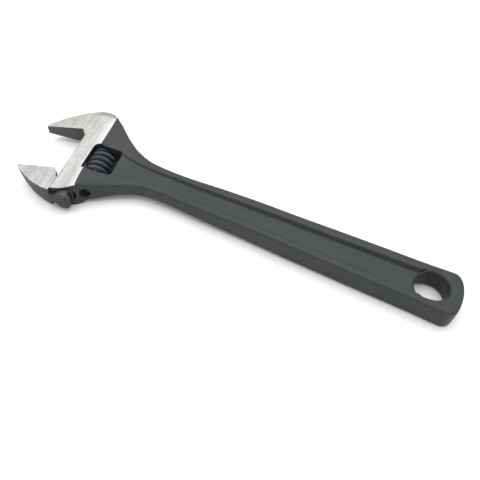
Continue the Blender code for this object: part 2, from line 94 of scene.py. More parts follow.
# Head and jaws, head frame
JAW_REACH = 42.0               # tip to throat line
FIXED_FACE_V = 23.3
JAW_OPENING = 54.0
SLIDING_FACE_V = FIXED_FACE_V - JAW_OPENING
THROAT_U = -0.5
RELIEF_U = -6.5                # the corner by the fixed jaw is cut off from here
RELIEF_V = 14.5                # to here
RIDGE_U = 19.3                 # where the ground faces meet the forged surface
HEAD_HALF = 11.05              # half thickness at the ridge
GROUND_SLOPE = 0.114           # each ground face falls by this much towards the jaw tips
EDGE_BREAK = 0.3               # small chamfer along the ground and machined edges

# Stem of the sliding jaw and its channel
STEM_U = 10.2
STEM_RADIUS = 7.6
STEM_OUTER_V = -65.0           # before the stem and web are trimmed
TRIM_V = -58.6                 # where the trim starts at the shoulder
TRIM_SLOPE = -0.1              # and how it leans, carrying on the line of the jaw's back
STEM_INNER_V = -17.0
WEB_HALF = 3.8
WEB_TOP_V = -35.5
CHANNEL_END_V = 38.0
SLOT_END_V = 20.5
CUTTER_OUTER_V = -70.0         # where the channel's cutters start, outside the head
STEM_CHAMFER = 1.0
JAW_FRONT = [(-4.5, -34.2), (-8.0, SLIDING_FACE_V)]     # relief corner of the sliding jaw
JAW_SHOULDER_V = -42.5         # where that relief begins, at the shoulder
WEB_OVERLAP = 0.25             # how far the web reaches into the jaw
TRIM_OVERLAP = 0.35            # and how far the trimming prism does

# Adjusting worm, its pin and spring
WORM_U = 24.0
WORM_RADIUS = 10.8
WORM_ROOT_RADIUS = 7.0
WORM_LEAD = 6.0
THREAD_CREST = 2.6
THREAD_FLANK = 0.7
CREST_DROP = 0.5               # how far the rounded crest falls at its corners
KNURLS = 32                    # small notches across the crest, per turn
KNURL_DEPTH = 0.35
KNURL_BAND = 0.6               # only the thread this near the full radius is notched
WORM_START_V = -26.8
WORM_END_V = -1.0
PIN_RADIUS = 3.0
PIN_HEAD_RADIUS = 4.0
PIN_HEAD_OUTER_V = -42.5
PIN_HEAD_INNER_V = -28.6
PIN_END_V = 10.5
PIN_SLOT_WIDTH = 1.3
PIN_SLOT_DEPTH = 1.6
SPRING_POCKET_RADIUS = 5.4
SPRING_POCKET_DEPTH = 8.0
SPRING_RADIUS = 4.2
SPRING_WIRE = 1.0
SPRING_TURNS = 5
PIN_CHAMFER = 0.5

# Handle, wrench frame
HANDLE_END_X = 331.0
HOLE_X = 309.3
HOLE_RADIUS = 11.7
HOLE_ROUNDING = 2.5
NECK_ROUNDING = 2.4            # rounding of the forged edges on the neck
HANDLE_ROUNDING = 2.2          # and along the handle
ROUNDING_CHANGE = (85.0, 70.0)  # the rounding falls from this X, over this length
DRAFT = 0.03                   # lean of the forged sides
FORGED_BLEND = (0.3, 5.0)      # forged edges begin this far before the ridge and take this length
RECESS_RUN_IN = 3.0            # length of the recess's run-in behind the ridge
RECESS_RUN_OUT = (4.0, 10.0)   # it ends this far past the hole's middle, over this length
# Recess along the handle: width of its sloping sides, depth and where each side starts, by X
RECESS_WALL = [(36, 1.3), (60, 1.8), (95, 2.4), (140, 2.9), (300, 3.0)]
RECESS_DEPTH = [(34, 0.8), (42, 1.2), (50, 1.5), (70, 2.0), (95, 2.4), (140, 3.0), (200, 3.5),
                (300, 3.6)]
RECESS_FAR = [(36, 12.0), (49, 9.8), (64, 8.4), (79, 8.2), (95, 8.6), (140, 8.9), (200, 9.5),
              (300, 10.7)]
RECESS_NEAR = [(41, -15.7), (49, -13.0), (58, -10.9), (68.6, -9.1), (79, -8.1), (95, -7.6),
               (140, -8.9), (200, -10.9), (300, -12.5)]
# Edges of the handle, by X
HANDLE_FAR = [(80, 14.6), (95, 14.4), (112, 15.0), (136, 16.0), (168, 16.5), (200, 16.5),
              (240, 17.5), (270, 18.0), (300, 18.4), (318, 19.2)]
HANDLE_NEAR = [(80, -14.4), (95, -13.9), (112, -14.3), (136, -14.9), (168, -15.4), (200, -16.4),
               (240, -17.4), (270, -18.2), (300, -18.8), (318, -19.6)]
# Half thickness from the ridge to the waist, by U, and what the handle adds to it, by X
NECK_THICKNESS = [(9.3, 14.0), (RIDGE_U, HEAD_HALF), (25.3, 9.3), (29.4, 8.35), (33.5, 7.6),
                  (39, 6.7), (45, 6.2), (51, 5.85), (59, 5.75), (67, 5.8), (90, 5.8)]
HANDLE_SWELL = [(90, 0.0), (111, 0.15), (130, 0.75), (156, 1.6), (182, 2.3), (207, 2.55),
                (254, 2.7), (290, 2.8), (300, 2.8), (340, 2.8)]
# The forged surface lies lower near the window, which bends the ridge: drop by V, and the slope
# between the ground and forged faces at the ridge
RIDGE_DROP = [(-50, 0.33), (-27.4, 0.94), (-10, 0.3), (4.6, 0.0), (45, 0.0)]
RIDGE_CLOSING = 0.41
RIDGE_DROP_FADE = (36.0, 14.0)  # the drop ends at this U, fading over this length

# Plan outlines, head frame
FIXED_JAW_BACK = [(20, 42.6), (16, 46.4), (12, 48.7), (5, 50.4), (0, 50.2), (-10, 47.3),
                  (-20, 42.5), (-30, 36.3), (-38, 29.5), (-41.8, 25.4), (-42, FIXED_FACE_V)]
HEAD_NEAR = [(THROAT_U, -55.0), (8, -54.5), (14, -52.3), (19, -49.3), (22, -47.6), (25.3, -46.0),
             (31.5, -43.9)]
SLIDING_JAW_BACK = [(-42, SLIDING_FACE_V), (-41.6, -32.0), (-37, -36.4), (-30, -42.3), (-20, -49.4),
                    (-10, -54.25), (-5, -56.1), (THROAT_U - GAP, -57.3)]
# Worm window, head frame: U, V and corner radius, clockwise
WINDOW_CORNERS = [(14.2, 4.7, 4.5), (38.9, 2.9, 1.5), (38.9, -27.4, 1.5), (14.2, -27.4, 1.2)]

# Plan outlines, wrench frame
NECK_NEAR = [(44.2, -32.4), (52.2, -26.5), (60.6, -21.3), (69.5, -16.9), (76.2, -15.0)]
NECK_FAR = [(71, 15.3), (64, 16.3), (55.8, 18.8), (45.5, 23.1), (34, 29.9), (28.2, 33.7),
            (21.6, 38.5), (14.7, 43.6)]
HANDLE_END = [(323.8, -19.4), (327.1, -17.4), (329.4, -13.7), (330.6, -7.5), (HANDLE_END_X, 0),
              (330.3, 7.5), (328.5, 13.4), (326.0, 17.1), (322.9, 19.1)]

# Where the head frame lies in the world, from the worm's joint
worm_joint = next(joint for joint in frame["joints"] if joint["name"] == "worm_spin")
HEAD_ANGLE = math.atan2(-worm_joint["axis"][0], worm_joint["axis"][1])
HEAD_FRAME = (Matrix.Translation(worm_joint["pos_m"]) @ Matrix.Rotation(HEAD_ANGLE, 4, "Z")
              @ Matrix.Translation((-WORM_U * MM, 0, 0)))
WRENCH_FRAME = Matrix.Translation(HEAD_FRAME.translation)


# ---------------------------------------------------------------- plan and height functions

def to_wrench(u, v):
    """Head frame to wrench frame."""
    c, s = math.cos(HEAD_ANGLE), math.sin(HEAD_ANGLE)
    return u * c - v * s, u * s + v * c


def to_head(x, y):
    """Wrench frame to head frame."""
    c, s = math.cos(HEAD_ANGLE), math.sin(HEAD_ANGLE)
    return x * c + y * s, y * c - x * s


def ease(t):
    t = np.clip(t, 0.0, 1.0)
    return t * t * (3 - 2 * t)


def along(table, x):
    """A smooth value between the entries of a short table of (position, value)."""
    keys = np.array([entry[0] for entry in table], float)
    values = np.array([entry[1] for entry in table], float)
    slopes = np.gradient(values, keys)
    x = np.clip(x, keys[0], keys[-1])
    i = np.clip(np.searchsorted(keys, x, side="right") - 1, 0, len(keys) - 2)
    width = keys[i + 1] - keys[i]
    t = (x - keys[i]) / width
    return (values[i] * (1 + 2 * t) * (1 - t) ** 2 + values[i + 1] * t * t * (3 - 2 * t)
            + width * (slopes[i] * t * (1 - t) ** 2 - slopes[i + 1] * t * t * (1 - t)))


def smooth_run(points, spacing):
    """Points along a Catmull-Rom curve through the given ones, its first end included."""
    p = np.array(points, float)
    p = np.vstack([2 * p[0] - p[1], p, 2 * p[-1] - p[-2]])
    run = []
    for a, b, c, d in zip(p, p[1:], p[2:], p[3:]):
        steps = max(1, round(np.linalg.norm(c - b) / spacing))
        for t in np.arange(steps) / steps:
            run.append(0.5 * (2 * b + (c - a) * t + (2 * a - 5 * b + 4 * c - d) * t ** 2
                              + (3 * b - a - 3 * c + d) * t ** 3))
    return run


def straight_run(start, end, spacing):
    start, end = np.array(start, float), np.array(end, float)
    steps = max(1, round(np.linalg.norm(end - start) / spacing))
    return [start + (end - start) * k / steps for k in range(steps)]


def rounded_polygon(corners, spacing, arc_steps):
    """A closed polygon whose corners, given as (x, y, radius), are rounded."""
    points = []
    count = len(corners)
    for i in range(count):
        before, here, after = (np.array(corners[(i + k) % count][:2], float) for k in (-1, 0, 1))
        radius = corners[i][2]
        to_before = (before - here) / np.linalg.norm(before - here)
        to_after = (after - here) / np.linalg.norm(after - here)
        half = 0.5 * math.acos(np.clip(to_before @ to_after, -1, 1))
        bisector = (to_before + to_after) / np.linalg.norm(to_before + to_after)
        centre = here + bisector * radius / math.sin(half)
        first = here + to_before * radius / math.tan(half) - centre
        last = here + to_after * radius / math.tan(half) - centre
        turn = math.atan2(first[0] * last[1] - first[1] * last[0], first @ last)
        for k in range(arc_steps + 1):
            a = turn * k / arc_steps
            points.append(centre + (first[0] * math.cos(a) - first[1] * math.sin(a),
                                    first[0] * math.sin(a) + first[1] * math.cos(a)))
    closed = []
    for a, b in zip(points, points[1:] + points[:1]):
        closed += straight_run(a, b, spacing)
    return closed


def body_outline():
    """Counter-clockwise outline of the body, in the wrench frame."""
    relief = [(RELIEF_U, FIXED_FACE_V), (THROAT_U, RELIEF_V)]
    corners = [(-JAW_REACH, FIXED_FACE_V)] + relief + [HEAD_NEAR[0]]
    far_edge = HANDLE_FAR[::-1]
    points = []
    for a, b in zip(corners, corners[1:]):
        points += [np.array(to_wrench(*p)) for p in straight_run(a, b, COARSE_SPACING)]
    head_near = [to_wrench(*p) for p in HEAD_NEAR]
    points += smooth_run(head_near + NECK_NEAR + HANDLE_NEAR[:1], FINE_SPACING)
    points += smooth_run(HANDLE_NEAR, COARSE_SPACING)
    points += smooth_run(HANDLE_NEAR[-1:] + HANDLE_END + far_edge[:1], FINE_SPACING)
    points += smooth_run(far_edge, COARSE_SPACING)
    fixed_jaw = [to_wrench(*p) for p in FIXED_JAW_BACK]
    points += smooth_run(far_edge[-1:] + NECK_FAR + fixed_jaw, FINE_SPACING)
    return points


def forged_share(x, y):
    """0 on the ground head, 1 on the forged neck and handle."""
    lead, length = FORGED_BLEND
    return ease((to_head(x, y)[0] - RIDGE_U + lead) / length)


def edge_radius(x, y):
    """Rounding of the forged edge: none on the ground head, more on the neck than the handle."""
    start, length = ROUNDING_CHANGE
    slimmed = (NECK_ROUNDING - HANDLE_ROUNDING) * ease((x - start) / length)
    return (NECK_ROUNDING - slimmed) * forged_share(x, y)


def no_radius(x, y):
    return 0 * x


def hole_radius(x, y):
    return HOLE_ROUNDING + 0 * x


def recess(x, y):
    """Depth of the pocket that runs along both faces of the handle."""
    wall = along(RECESS_WALL, x)
    far_wall = ease((along(RECESS_FAR, x) - y) / wall)
    near_wall = ease((y - along(RECESS_NEAR, x)) / wall)
    beyond, length = RECESS_RUN_OUT
    ends = (ease((to_head(x, y)[0] - RIDGE_U) / RECESS_RUN_IN)
            * ease((HOLE_X + beyond - x) / length))
    return along(RECESS_DEPTH, x) * far_wall * near_wall * ends


def ridge_u(v):
    """Where the ground and forged faces meet."""
    return RIDGE_U - along(RIDGE_DROP, v) / RIDGE_CLOSING


def forged_half(x, y):
    u, v = to_head(x, y)
    end, length = RIDGE_DROP_FADE
    drop = along(RIDGE_DROP, v) * ease((end - u) / length)
    return along(NECK_THICKNESS, u) - drop + along(HANDLE_SWELL, x) - recess(x, y)


def ground_half(x, y):
    """Height of the ground faces, which only bind on the jaw side of the ridge."""
    return HEAD_HALF - GROUND_SLOPE * (RIDGE_U - to_head(x, y)[0])


# ---------------------------------------------------------------- mesh building

def inward_normals(loop):
    """Unit normals to the left of travel, lengthened at corners so that offsets stay parallel."""
    ahead = np.roll(loop, -1, axis=0) - loop
    ahead /= np.linalg.norm(ahead, axis=1)[:, None]
    behind = np.roll(ahead, 1, axis=0)
    left = np.stack([-(ahead + behind)[:, 1], (ahead + behind)[:, 0]], 1)
    left /= np.linalg.norm(left, axis=1)[:, None]
    across = np.stack([-ahead[:, 1], ahead[:, 0]], 1)
    return left / np.maximum((left * across).sum(1), 0.5)[:, None]


def inside(points, loops):
    """Even-odd test of points against closed loops."""
    odd = np.zeros(len(points), bool)
    for loop in loops:
        for (x0, y0), (x1, y1) in zip(loop, np.roll(loop, -1, axis=0)):
            spans = (y0 > points[:, 1]) != (y1 > points[:, 1])
            if spans.any():
                crossing = x0 + (points[:, 1] - y0) * (x1 - x0) / ((y1 - y0) or 1e-12)
                odd ^= spans & (points[:, 0] < crossing)
    return odd


def distance_to(points, others):
    """Distance from each point to the nearest of the others."""
    return np.array([np.sqrt(((others - p) ** 2).sum(1).min()) for p in points])


def edge_rings(loop, radius, forged, ground, leaning):
    """Rings up one edge: side wall with its draft, rounding and edge break."""
    normals = inward_normals(loop)
    x, y = loop[:, 0], loop[:, 1]
    r, share = radius(x, y), leaning(x, y)
    top = np.minimum(forged(x, y), ground(x, y))
    chamfer = EDGE_BREAK * ease(1 - r)
    rings = [(loop, 0 * x)]
    lean = share * DRAFT * (top - r)
    for angle in np.linspace(0, math.pi / 2, ROUNDING_STEPS + 1):
        q = loop + normals * (lean + r * (1 - math.cos(angle)))[:, None]
        rings.append((q, np.minimum(top - r + r * math.sin(angle), top - chamfer)))
    q = loop + normals * (lean + r + chamfer)[:, None]
    rings.append((q, np.minimum(forged(q[:, 0], q[:, 1]), ground(q[:, 0], q[:, 1]))))
    return rings


def plate(loops, forged, ground, guides=()):
    """Vertices and faces of a plate that is symmetric about Z = 0.

    loops are (points, radius, leaning) that run with the material on their left. guides are open
    lines that the faces' edges follow.
    """
    vertices, rims, walls = [], [], []
    for points, radius, leaning in loops:
        rings = []
        for q, z in edge_rings(np.array(points, float), radius, forged, ground, leaning):
            rings.append(range(len(vertices), len(vertices) + len(q)))
            vertices += [(a, b, c) for (a, b), c in zip(q, z)]
        rims.append(rings[-1])
        walls.append(rings)

    flat = [np.array([vertices[i][:2] for i in rim]) for rim in rims]
    constraints = [(rim[k], rim[(k + 1) % len(rim)]) for rim in rims for k in range(len(rim))]
    fixed = np.vstack(flat)
    fill = []
    for guide in guides:
        guide = np.array(guide, float)
        kept = inside(guide, flat) & (distance_to(guide, fixed) > GUIDE_MARGIN)
        clear = np.all([inside(guide[:-1] * (1 - t) + guide[1:] * t, flat)
                        for t in (0.2, 0.4, 0.6, 0.8)], axis=0)
        for k, point in enumerate(guide):
            if kept[k]:
                if k and kept[k - 1] and clear[k - 1]:
                    constraints.append((len(vertices) + len(fill) - 1, len(vertices) + len(fill)))
                fill.append(point)
    low, high = fixed.min(0), fixed.max(0)
    half = FACE_GRID / 2
    rows = np.arange(low[1] + half, high[1], FACE_GRID * FACE_ROW)
    free = np.array([(x + (k % 2) * FACE_GRID / 2, y) for k, y in enumerate(rows)
                     for x in np.arange(low[0] + half, high[0], FACE_GRID)])
    taken = np.vstack([fixed] + ([np.array(fill)] if fill else []))
    clear = distance_to(free, taken) > FACE_CLEARANCE * FACE_GRID
    fill += list(free[inside(free, flat) & clear])
    fill = np.array(fill)
    z = np.minimum(forged(fill[:, 0], fill[:, 1]), ground(fill[:, 0], fill[:, 1]))
    vertices += [(a, b, c) for (a, b), c in zip(fill, z)]

    used = [i for rim in rims for i in rim]
    used += range(len(vertices) - len(fill), len(vertices))
    place = {i: k for k, i in enumerate(used)}
    found = delaunay_2d_cdt([Vector(vertices[i][:2]) for i in used],
                            [(place[a], place[b]) for a, b in constraints], [], 0, 1e-6)
    corners = np.array([found[0][i] for face in found[2] for i in face]).reshape(-1, 3, 2)
    sides = corners[:, 1:] - corners[:, :1]
    area = np.abs(sides[:, 0, 0] * sides[:, 1, 1] - sides[:, 0, 1] * sides[:, 1, 0]) / 2
    keep = inside(corners.mean(1), flat) & (area > SLIVER_AREA)
    number = []
    for point, origins in zip(found[0], found[3]):
        if not origins:        # where two guides cross
            x, y = np.array([point.x]), np.array([point.y])
            vertices.append((point.x, point.y, min(forged(x, y)[0], ground(x, y)[0])))
        number.append(used[origins[0]] if origins else len(vertices) - 1)
    top = [[number[i] for i in face] for face, kept in zip(found[2], keep) if kept]

    count = len(vertices)
    faces = top + [[i + count for i in reversed(face)] for face in top]
    for rings in walls:
        size = len(rings[0])
        for k in range(size):
            n = (k + 1) % size
            for lower, upper in zip(rings, rings[1:]):
                quad = [lower[k], lower[n], upper[n], upper[k]]
                faces += [quad, [i + count for i in reversed(quad)]]
    return vertices + [(x, y, -z) for x, y, z in vertices], faces


THREAD = [(0, WORM_RADIUS), (0.6, WORM_RADIUS - 0.08 * CREST_DROP),
          (1.0, WORM_RADIUS - 0.4 * CREST_DROP), (1.28, WORM_RADIUS - CREST_DROP),
          (1.85, WORM_ROOT_RADIUS + 0.35), (2.2, WORM_ROOT_RADIUS)]
RACK_THREAD = [(0, WORM_RADIUS + GAP), (THREAD_CREST / 2 + GAP, WORM_RADIUS + GAP),
               (THREAD_CREST / 2 + GAP + THREAD_FLANK, WORM_ROOT_RADIUS + GAP)]


def screw(profile, start, end, columns, bore, knurls=0):
    """Vertices and faces of a right-hand worm along local Y.

    profile lists (distance from the crest's middle, radius). bore lists (radius, y) down the
    inside from the far end; with none the ends are closed. knurls notches the crests.
    """
    offsets = [offset for offset, radius in profile]
    radii = [radius for offset, radius in profile]
    stops = sorted({-offset for offset in offsets} | set(offsets))
    first = math.floor(start / WORM_LEAD) - 2
    last = math.ceil(end / WORM_LEAD) + 2
    levels = [n * WORM_LEAD + stop for n in range(first, last) for stop in stops]
    vertices, faces = [], []

    def ring_of(radius, heights):
        begin = len(vertices)
        for i in range(columns):
            angle = 2 * math.pi * i / columns
            vertices.append((radius[i] * math.sin(angle), heights[i], radius[i] * math.cos(angle)))
        return list(range(begin, begin + columns))

    turns = np.arange(columns) / columns
    outer = []
    for level in levels:
        heights = np.clip(level + WORM_LEAD * turns, start, end)
        phase = np.abs((heights - WORM_LEAD * (turns - 0.5)) % WORM_LEAD - WORM_LEAD / 2)
        radius = np.interp(phase, offsets, radii)
        notch = KNURL_DEPTH * (0.5 - 0.5 * np.cos(2 * math.pi * knurls * turns)) ** 2
        outer.append(ring_of(radius - notch * (radius > WORM_RADIUS - KNURL_BAND), heights))
    top = len(levels) - 1
    for k in range(top):
        for i in range(columns - 1):
            faces.append([outer[k][i], outer[k][i + 1], outer[k + 1][i + 1], outer[k + 1][i]])
        # After a whole turn each level meets the one a lead further on.
        a, b = min(k + len(stops), top), min(k + 1 + len(stops), top)
        faces.append([outer[k][-1], outer[a][0], outer[b][0], outer[k + 1][-1]])
    low, high = outer[0], outer[-1]
    if bore:
        inner = [ring_of([r] * columns, [y] * columns) for r, y in bore]
        chain = [high] + inner + [low]
        for a, b in zip(chain, chain[1:]):
            for i in range(columns):
                faces.append([a[i], a[(i + 1) % columns], b[(i + 1) % columns], b[i]])
    else:
        for rim, y, flip in ((high, end, False), (low, start, True)):
            centre = len(vertices)
            vertices.append((0, y, 0))
            for i in range(columns):
                face = [rim[i], rim[(i + 1) % columns], centre]
                faces.append(face[::-1] if flip else face)
    return vertices, faces


def turned(profile, segments):
    """Vertices and faces of a closed body turned about local Y from (radius, y) points."""
    vertices, faces = [], []
    for radius, y in profile:
        for k in range(segments):
            angle = 2 * math.pi * k / segments
            vertices.append((radius * math.sin(angle), y, radius * math.cos(angle)))
    for row in range(len(profile) - 1):
        for k in range(segments):
            a, b = row * segments + k, row * segments + (k + 1) % segments
            faces.append([a, b, b + segments, a + segments])
    faces.append(list(range(segments))[::-1])
    faces.append(list(range((len(profile) - 1) * segments, len(profile) * segments)))
    return vertices, faces


def new_object(name, vertices, faces, u=0.0):
    """An object of one closed shell, its head-frame vertices given in mm and moved u along U."""
    mesh = bpy.data.meshes.new(name)
    mesh.from_pydata([((x + u) * MM, y * MM, z * MM) for x, y, z in vertices], [], faces)
    shell = bmesh.new()
    shell.from_mesh(mesh)
    bmesh.ops.remove_doubles(shell, verts=shell.verts, dist=MERGE_DISTANCE * MM)
    bmesh.ops.delete(shell, geom=[v for v in shell.verts if not v.link_faces], context="VERTS")
    bmesh.ops.recalc_face_normals(shell, faces=shell.faces)
    bmesh.ops.transform(shell, matrix=HEAD_FRAME, verts=shell.verts)
    shell.to_mesh(mesh)
    shell.free()
    made = bpy.data.objects.new(name, mesh)
    bpy.context.scene.collection.objects.link(made)
    return made


def block(name, low, high):
    """A box between two corners."""
    vertices = [(x, y, z) for x in (low[0], high[0]) for y in (low[1], high[1])
                for z in (low[2], high[2])]
    faces = [(0, 1, 3, 2), (4, 6, 7, 5), (0, 4, 5, 1), (2, 3, 7, 6), (0, 2, 6, 4), (1, 5, 7, 3)]
    return new_object(name, vertices, faces)


def rod(name, radius, start, end, u, segments):
    """A round bar along V, centred on (u, 0)."""
    return new_object(name, *turned([(radius, start), (radius, end)], segments), u)


def carve(target, tools):
    """Applies Booleans, given as (operation, tool), and removes the tools."""
    for operation, tool in tools:
        modifier = target.modifiers.new(tool.name, "BOOLEAN")
        modifier.operation = operation
        modifier.solver = "EXACT"
        modifier.object = tool
    bpy.context.view_layer.update()
    graph = bpy.context.evaluated_depsgraph_get()
    carved = bpy.data.meshes.new_from_object(target.evaluated_get(graph))
    target.modifiers.clear()
    target.data = carved
    for operation, tool in tools:
        bpy.data.objects.remove(tool)


def dress(target, materials, choose=None, sharp_angle=SHARP_ANGLE):
    """Gives each face the material that choose names for its centre, in mm, and normal in the head
    frame, and sets smooth shading with sharp edges at corners and where the material changes."""
    names = list(materials)
    to_frame = HEAD_FRAME.inverted()
    turn = to_frame.to_3x3()
    target.data.materials.clear()
    for name in names:
        target.data.materials.append(materials[name])
    shell = bmesh.new()
    shell.from_mesh(target.data)
    for face in shell.faces:
        face.smooth = True
        if choose:
            centre = (to_frame @ face.calc_center_median()) / MM
            face.material_index = names.index(choose(centre, turn @ face.normal))
    for edge in shell.edges:
        faces = edge.link_faces
        edge.smooth = (len(faces) == 2 and faces[0].material_index == faces[1].material_index
                       and edge.calc_face_angle(0) < math.radians(sharp_angle))
    shell.to_mesh(target.data)
    shell.free()


# ---------------------------------------------------------------- materials

class Nodes:
    """A Principled material being built."""

    def __init__(self, name, colour, metallic, roughness):
        self.material = bpy.data.materials.new(name)
        self.material.use_nodes = True
        self.tree = self.material.node_tree
        self.shader = self.tree.nodes["Principled BSDF"]
        self.shader.inputs["Base Color"].default_value = (*colour, 1)
        self.shader.inputs["Metallic"].default_value = metallic
        self.shader.inputs["Roughness"].default_value = roughness
        self.place = self.tree.nodes.new("ShaderNodeTexCoord").outputs["Object"]

    def link(self, source, target):
        self.tree.links.new(source, target)

    def noise(self, size, detail=3.0, stretch=(1, 1, 1)):
        """A 0 to 1 noise whose features are size metres across, stretched along the head's axes."""
        mapping = self.tree.nodes.new("ShaderNodeMapping")
        mapping.vector_type = "TEXTURE"
        mapping.inputs["Rotation"].default_value = (0, 0, HEAD_ANGLE)
        mapping.inputs["Scale"].default_value = [size * s for s in stretch]
        self.link(self.place, mapping.inputs["Vector"])
        noise = self.tree.nodes.new("ShaderNodeTexNoise")
        noise.inputs["Scale"].default_value = 1.0
        noise.inputs["Detail"].default_value = detail
        self.link(mapping.outputs["Vector"], noise.inputs["Vector"])
        return noise.outputs["Fac"]

    def head_place(self):
        """U and V of the shaded point, in metres."""
        mapping = self.tree.nodes.new("ShaderNodeMapping")
        mapping.vector_type = "TEXTURE"
        mapping.inputs["Location"].default_value = HEAD_FRAME.translation
        mapping.inputs["Rotation"].default_value = (0, 0, HEAD_ANGLE)
        self.link(self.place, mapping.inputs["Vector"])
        parts = self.tree.nodes.new("ShaderNodeSeparateXYZ")
        self.link(mapping.outputs["Vector"], parts.inputs["Vector"])
        return parts.outputs["X"], parts.outputs["Y"]

    def ramp(self, source, low, high, start=0.0, end=1.0):
        """source between start and end, turned into a value or colour between low and high."""
        if isinstance(low, tuple):
            mix = self.tree.nodes.new("ShaderNodeMix")
            mix.data_type = "RGBA"
            mix.inputs[6].default_value = (*low, 1)
            mix.inputs[7].default_value = (*high, 1)
            self.link(self.ramp(source, 0.0, 1.0, start, end), mix.inputs[0])
            return mix.outputs[2]
        node = self.tree.nodes.new("ShaderNodeMapRange")
        limits = {"From Min": start, "From Max": end, "To Min": low, "To Max": high}
        for socket, value in limits.items():
            node.inputs[socket].default_value = value
        self.link(source, node.inputs["Value"])
        return node.outputs["Result"]

    def math(self, operation, a, b):
        node = self.tree.nodes.new("ShaderNodeMath")
        node.operation = operation
        for socket, value in zip(node.inputs, (a, b)):
            if isinstance(value, (int, float)):
                socket.default_value = value
            else:
                self.link(value, socket)
        return node.outputs[0]

    def mix(self, share, a, b):
        """Colour a where share is 0 and b where it is 1."""
        node = self.tree.nodes.new("ShaderNodeMix")
        node.data_type = "RGBA"
        for socket, value in zip((node.inputs[0], node.inputs[6], node.inputs[7]), (share, a, b)):
            if isinstance(value, tuple):
                socket.default_value = (*value, 1)
            else:
                self.link(value, socket)
        return node.outputs[2]

    def bump(self, height, distance, under=None):
        node = self.tree.nodes.new("ShaderNodeBump")
        node.inputs["Strength"].default_value = 1.0
        node.inputs["Distance"].default_value = distance
        self.link(height, node.inputs["Height"])
        if under:
            self.link(under, node.inputs["Normal"])
        return node.outputs["Normal"]


def forged_black():
    """Black phosphate over a slightly uneven forging, with fine grain and a soft undulation."""
    m = Nodes("forged_black", (0.025, 0.028, 0.029), 0.0, 0.52)
    m.shader.inputs["Specular IOR Level"].default_value = 0.35
    cloud = m.noise(0.03, 4)
    grain = m.noise(0.0007, 3)
    m.link(m.ramp(cloud, (0.019, 0.0225, 0.0235), (0.025, 0.0285, 0.03), 0.3, 0.7),
           m.shader.inputs["Base Color"])
    m.link(m.ramp(grain, 0.42, 0.6, 0.3, 0.7), m.shader.inputs["Roughness"])
    swell = m.bump(m.noise(0.009, 2), 0.00015)
    m.link(m.bump(grain, 0.00003, under=swell), m.shader.inputs["Normal"])
    return m.material


def machined_dark():
    """Milled walls, channel and jaw faces under thin black oxide."""
    m = Nodes("machined_dark", (0.02, 0.022, 0.028), 0.0, 0.45)
    cut = m.noise(0.0005, 2, (1, 1, 12))
    m.link(m.ramp(m.noise(0.012, 3), (0.022, 0.025, 0.033), (0.036, 0.040, 0.050), 0.3, 0.7),
           m.shader.inputs["Base Color"])
    m.link(m.ramp(cut, 0.38, 0.52, 0.3, 0.7), m.shader.inputs["Roughness"])
    m.link(m.bump(cut, 0.00002), m.shader.inputs["Normal"])
    return m.material


# Painted highlight: the ground faces brighten over this band of U, beside the ridge.
RIDGE_HIGHLIGHT_BAND = (0.012, 0.018)
# Painted darker reflection: a dull grey patch on the ground faces at the fixed jaw's outer edge.
DARK_REFLECTION_U = 0.004
DARK_REFLECTION_CURVE = 21.0
DARK_REFLECTION_RAGGED = 0.002           # how far the mottle moves the patch's edge
DARK_REFLECTION_V = (0.0435, 0.047)
DARK_REFLECTION_START = (-0.008, 0.002)  # U over which the patch fades in


def ground_steel():
    """Bare steel ground along the throat: soft warm-grey streaks, fine scratches and mottling, a
    painted highlight as a brighter band beside the ridge, and a painted darker reflection as a dull
    grey patch at the fixed jaw's outer edge.

    RIDGE_HIGHLIGHT_BAND is U in metres. The painted dark patch lies beyond DARK_REFLECTION_V, less
    a parabola about DARK_REFLECTION_U.
    """
    m = Nodes("ground_steel", (0.75, 0.74, 0.71), 1.0, 0.4)
    u, v = m.head_place()
    streaks = m.noise(0.0035, 3, (1, 10, 10))
    scratches = m.noise(0.0004, 2, (1, 40, 40))
    mottle = m.noise(0.0016, 3, (1, 2, 1))
    tone = m.math("ADD", m.math("MULTIPLY", streaks, 0.45), m.math("MULTIPLY", scratches, 0.25))
    tone = m.math("ADD", tone, m.math("MULTIPLY", mottle, 0.3))
    ground = m.ramp(tone, (0.42, 0.405, 0.385), (0.68, 0.67, 0.65), 0.38, 0.62)
    # Painted highlight: a brighter band beside the ridge.
    ground = m.mix(m.ramp(u, 0.0, 0.75, *RIDGE_HIGHLIGHT_BAND), ground, (0.85, 0.85, 0.84))
    # Painted darker reflection: a dull grey patch at the fixed jaw's outer edge.
    outward = m.math("SUBTRACT", u, DARK_REFLECTION_U)
    outward = m.math("MULTIPLY", m.math("MULTIPLY", outward, outward), DARK_REFLECTION_CURVE)
    inset = m.math("ADD", v, m.math("ADD", outward, m.math("MULTIPLY", mottle, DARK_REFLECTION_RAGGED)))
    dark_reflection = m.math("MULTIPLY", m.ramp(inset, 0.0, 1.0, *DARK_REFLECTION_V),
                   m.ramp(u, 0.0, 1.0, *DARK_REFLECTION_START))
    m.link(m.mix(dark_reflection, ground, (0.34, 0.34, 0.335)), m.shader.inputs["Base Color"])
    m.link(m.ramp(scratches, 0.34, 0.5, 0.3, 0.7), m.shader.inputs["Roughness"])
    m.link(m.bump(scratches, 0.00001), m.shader.inputs["Normal"])
    return m.material


def worm_black():
    """Blue-black hardened worm with a faint random mottle in its tone and shine."""
    m = Nodes("worm_black", (0.02, 0.024, 0.035), 0.0, 0.36)
    m.link(m.ramp(m.noise(0.006, 3), (0.013, 0.0165, 0.026), (0.024, 0.029, 0.042), 0.3, 0.7),
           m.shader.inputs["Base Color"])
    m.link(m.ramp(m.noise(0.0008, 2), 0.3, 0.42, 0.3, 0.7), m.shader.inputs["Roughness"])
    m.link(m.bump(m.noise(0.0006, 2, (1, 0.5, 1)), 0.00002), m.shader.inputs["Normal"])
    return m.material


